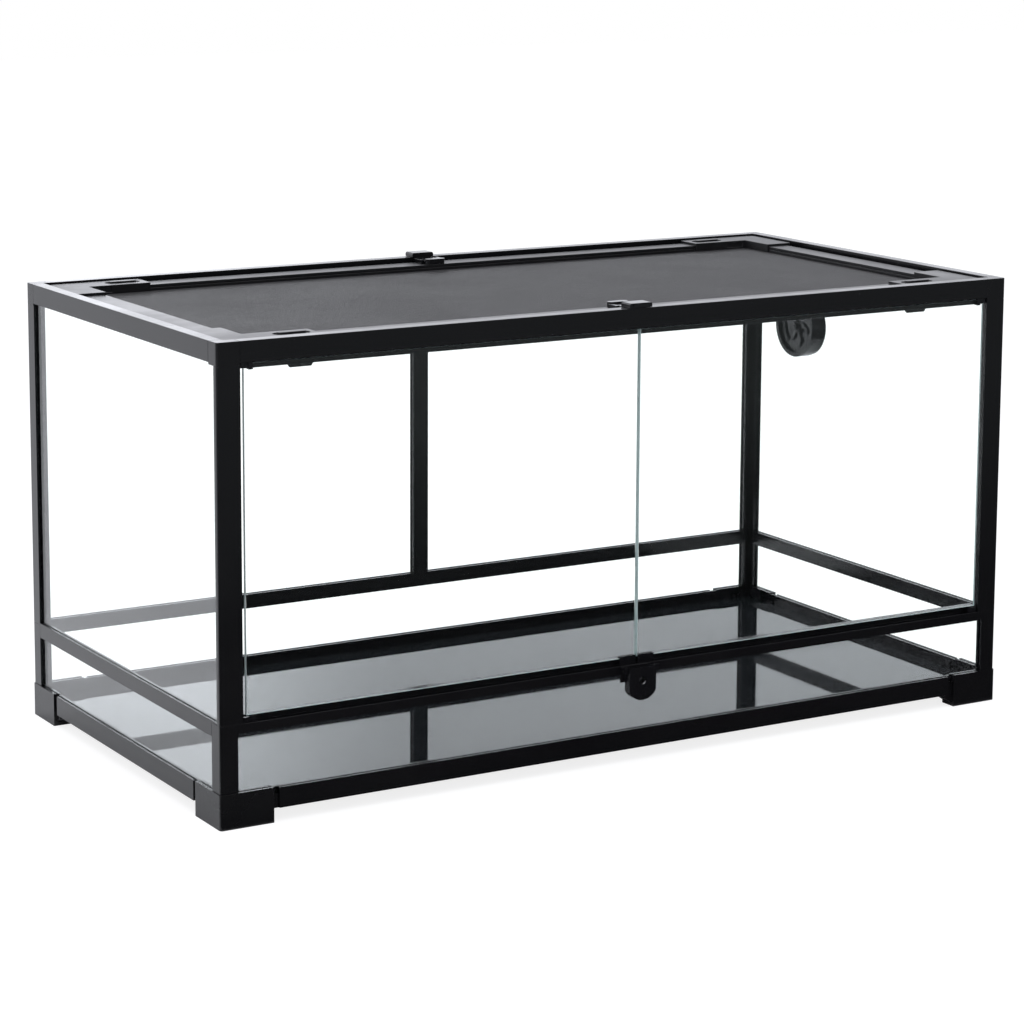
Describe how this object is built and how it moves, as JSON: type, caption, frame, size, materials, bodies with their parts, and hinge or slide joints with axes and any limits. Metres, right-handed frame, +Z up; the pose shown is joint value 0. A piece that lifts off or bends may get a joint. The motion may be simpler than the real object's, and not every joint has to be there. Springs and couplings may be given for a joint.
{
  "type": "reptile terrarium",
  "caption": "Front-opening glass terrarium in a black frame, with hinged double doors, a door lock, a lift-off screen lid with sliding latches, and a closable cable port.",
  "frame": {"origin": "middle of the footprint on the surface that the feet stand on", "axes": "+X to the viewer's right as seen from the doors, +Y from the doors to the back, +Z up"},
  "size_m": [0.914, 0.4675, 0.462],
  "materials": {
    "frame_plastic": "semi-gloss black extruded and moulded plastic",
    "moulded_plastic": "semi-gloss black moulded plastic",
    "lid_plastic": "satin black plastic",
    "clear_glass": "clear float glass with green edges",
    "floor_glass": "glossy black-backed floor panel",
    "screen_mesh": "fine black metal screen",
    "pin_steel": "bright steel pins"
  },
  "bodies": {
    "frame": {"foot_front_left": "frame_plastic", "foot_front_right": "frame_plastic", "foot_back_left": "frame_plastic", "foot_back_right": "frame_plastic", "base_rail_front": "frame_plastic", "base_rail_back": "frame_plastic", "base_rail_left": "frame_plastic", "base_rail_right": "frame_plastic", "lower_post_front_left": "frame_plastic", "lower_post_front_right": "frame_plastic", "lower_post_back_left": "frame_plastic", "lower_post_back_right": "frame_plastic", "middle_rail_front": "frame_plastic", "middle_rail_back": "frame_plastic", "middle_rail_left": "frame_plastic", "middle_rail_right": "frame_plastic", "upper_post_front_left": "frame_plastic", "upper_post_front_right": "frame_plastic", "upper_post_back_left": "frame_plastic", "upper_post_back_right": "frame_plastic", "back_centre_post": "frame_plastic", "top_rail_front": "frame_plastic", "top_rail_back": "frame_plastic", "top_rail_left": "frame_plastic", "top_rail_right": "frame_plastic", "top_corner_front_left": "frame_plastic", "top_corner_front_right": "frame_plastic", "top_corner_back_left": "frame_plastic", "top_corner_back_right": "frame_plastic", "floor_panel": "floor_glass", "lower_glass_front": "clear_glass", "lower_glass_back": "clear_glass", "lower_glass_left": "clear_glass", "lower_glass_right": "clear_glass", "upper_glass_left": "clear_glass", "upper_glass_right": "clear_glass", "upper_glass_back_left": "clear_glass", "upper_glass_back_right": "clear_glass", "hinge_pins": "pin_steel", "lock_housing": "moulded_plastic", "port_housing": "moulded_plastic"},
    "door_left": {"door_glass_left": "clear_glass", "door_fittings_left": "moulded_plastic"},
    "door_right": {"door_glass_right": "clear_glass", "door_fittings_right": "moulded_plastic"},
    "lock_tab": {"lock_pull_tab": "moulded_plastic"},
    "lid": {"lid_bar_front": "lid_plastic", "lid_bar_back": "lid_plastic", "lid_bar_left": "lid_plastic", "lid_bar_right": "lid_plastic", "lid_corner_front_left": "lid_plastic", "lid_corner_front_right": "lid_plastic", "lid_corner_back_left": "lid_plastic", "lid_corner_back_right": "lid_plastic", "lid_screen": "screen_mesh", "lid_latch_guides": "moulded_plastic"},
    "latch_front": {"lid_latch_front": "moulded_plastic"},
    "latch_back": {"lid_latch_back": "moulded_plastic"},
    "shutter": {"port_shutter": "moulded_plastic"}
  },
  "joints": [
    {"name": "door_left_hinge", "type": "hinge", "parent": "frame", "child": "door_left", "pos_m": [-0.4292, -0.2242, 0.1005], "axis": [0, 0, -1], "range_deg": [0, 100]},
    {"name": "door_right_hinge", "type": "hinge", "parent": "frame", "child": "door_right", "pos_m": [0.4292, -0.2242, 0.1005], "axis": [0, 0, 1], "range_deg": [0, 100]},
    {"name": "lock_tab_swing", "type": "hinge", "parent": "frame", "child": "lock_tab", "pos_m": [0, -0.2332, 0.0957], "axis": [-1, 0, 0], "range_deg": [0, 90]},
    {"name": "lid_lift", "type": "slide", "parent": "frame", "child": "lid", "axis": [0, 0, 1], "range_m": [0, 0.1]},
    {"name": "latch_front_slide", "type": "slide", "parent": "lid", "child": "latch_front", "axis": [0, 1, 0], "range_m": [0, 0.014]},
    {"name": "latch_back_slide", "type": "slide", "parent": "lid", "child": "latch_back", "axis": [0, -1, 0], "range_m": [0, 0.014]},
    {"name": "shutter_turn", "type": "hinge", "parent": "frame", "child": "shutter", "pos_m": [0.4386, 0.119, 0.361], "axis": [1, 0, 0], "range_deg": [0, 60]}
  ]
}
